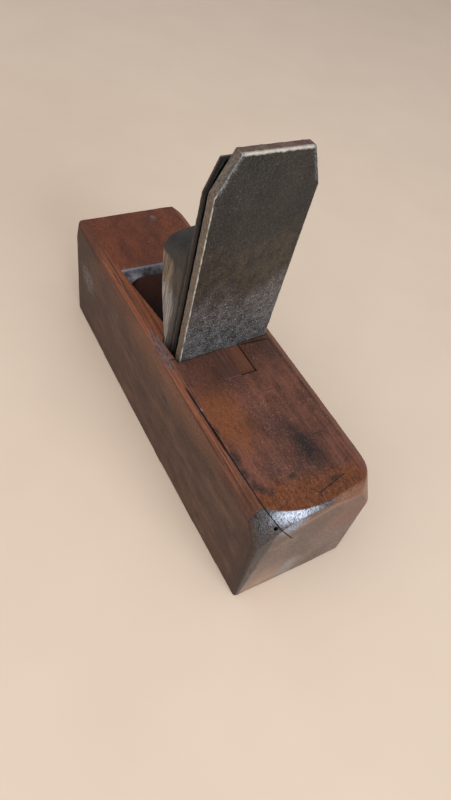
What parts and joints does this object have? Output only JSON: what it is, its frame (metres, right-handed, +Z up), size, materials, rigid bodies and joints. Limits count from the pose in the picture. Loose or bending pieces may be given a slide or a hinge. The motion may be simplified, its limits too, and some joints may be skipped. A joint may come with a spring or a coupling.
{
  "type": "wooden hand plane",
  "caption": "Coffin-shaped wooden smoothing plane with an upright double iron, held by a tapered wedge in an open throat.",
  "frame": {"origin": "middle of the stock's outline, on the sole", "axes": "+X toward the toe, +Y to the left of a user who pushes the plane toward +X, +Z up from the sole"},
  "size_m": [0.2142, 0.065, 0.1716],
  "materials": {
    "stock_wood": "old fruitwood or beech, handled and oiled, satin on top and dull on the sides",
    "block_wood": "same wood as the stock, dirty end grain",
    "wedge_wood": "bleached wood with a dark, dirty top",
    "iron_steel": "dark patina with pitting, bright worn arris",
    "cap_steel": "dark patina with rust spots",
    "boss_brass": "dull",
    "screw_steel": "dark patina"
  },
  "bodies": {
    "stock": {"stock": "stock_wood", "bed_block": "block_wood"},
    "wedge": {"wedge": "wedge_wood"},
    "iron": {"cutting_iron": "iron_steel"},
    "cap": {"cap_iron": "cap_steel", "cap_screw_boss": "boss_brass"},
    "screw": {"cap_screw": "screw_steel"}
  },
  "joints": [
    {"name": "wedge_slide", "type": "slide", "parent": "stock", "child": "wedge", "axis": [-0.0207, -0.0378, 0.9991], "range_m": [0, 0.075]},
    {"name": "iron_slide", "type": "slide", "parent": "stock", "child": "iron", "axis": [-0.0207, -0.0378, 0.9991], "range_m": [-0.001, 0.006]},
    {"name": "cap_slide", "type": "slide", "parent": "iron", "child": "cap", "axis": [-0.0207, -0.0378, 0.9991], "range_m": [-0.001, 0.0035]},
    {"name": "cap_screw_turn", "type": "hinge", "parent": "cap", "child": "screw", "pos_m": [-0.01122, -0.00143, 0.04196], "axis": [0.9983, 0.0541, 0.0227], "range_deg": [0, 540]}
  ]
}
